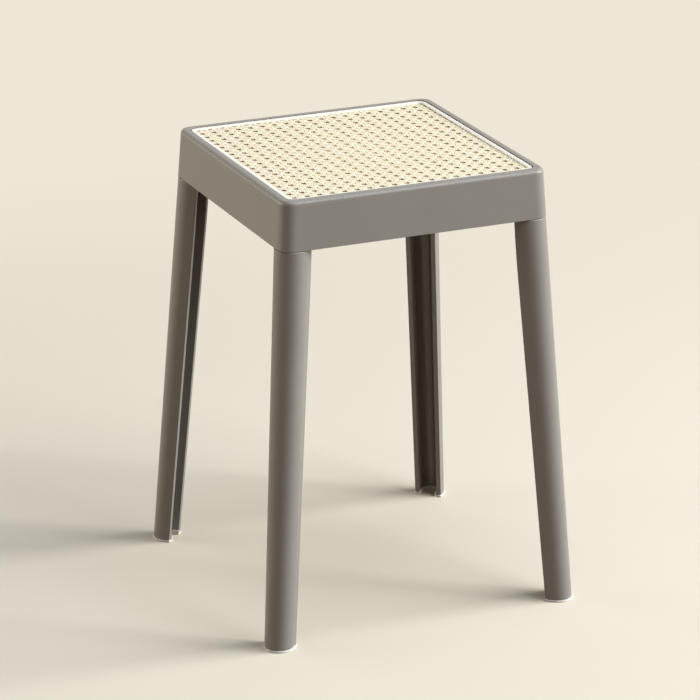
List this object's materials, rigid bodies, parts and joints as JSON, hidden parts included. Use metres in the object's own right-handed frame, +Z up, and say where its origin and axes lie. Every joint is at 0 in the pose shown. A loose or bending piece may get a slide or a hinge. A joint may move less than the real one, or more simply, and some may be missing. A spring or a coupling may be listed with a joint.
{
  "type": "stacking stool",
  "caption": "Square stacking stool: moulded seat frame on splayed channel-section legs with glides, and a snap-in cane-pattern seat insert.",
  "frame": {"origin": "on the floor under the middle of the seat", "axes": "+Z up, -Y towards the front side of the seat, +X to the right"},
  "size_m": [0.3352, 0.3352, 0.45],
  "materials": {
    "taupe_plastic": "satin moulded",
    "ivory_plastic": "satin moulded",
    "cane_plastic": "satin woven strands",
    "tan_board": "unfinished fibreboard",
    "white_glide": "smooth",
    "zinc_steel": "zinc plated"
  },
  "bodies": {
    "root": {"seat_frame": "taupe_plastic", "leg_front_left": "taupe_plastic", "leg_front_right": "taupe_plastic", "leg_back_left": "taupe_plastic", "leg_back_right": "taupe_plastic", "insert_border": "ivory_plastic", "cane_webbing": "cane_plastic", "backing_board": "tan_board", "glide_front_left": "white_glide", "glide_front_right": "white_glide", "glide_back_left": "white_glide", "glide_back_right": "white_glide", "leg_screw_front_left_a": "zinc_steel", "leg_screw_front_left_b": "zinc_steel", "leg_screw_front_right_a": "zinc_steel", "leg_screw_front_right_b": "zinc_steel", "leg_screw_back_left_a": "zinc_steel", "leg_screw_back_left_b": "zinc_steel", "leg_screw_back_right_a": "zinc_steel", "leg_screw_back_right_b": "zinc_steel"}
  },
  "joints": []
}
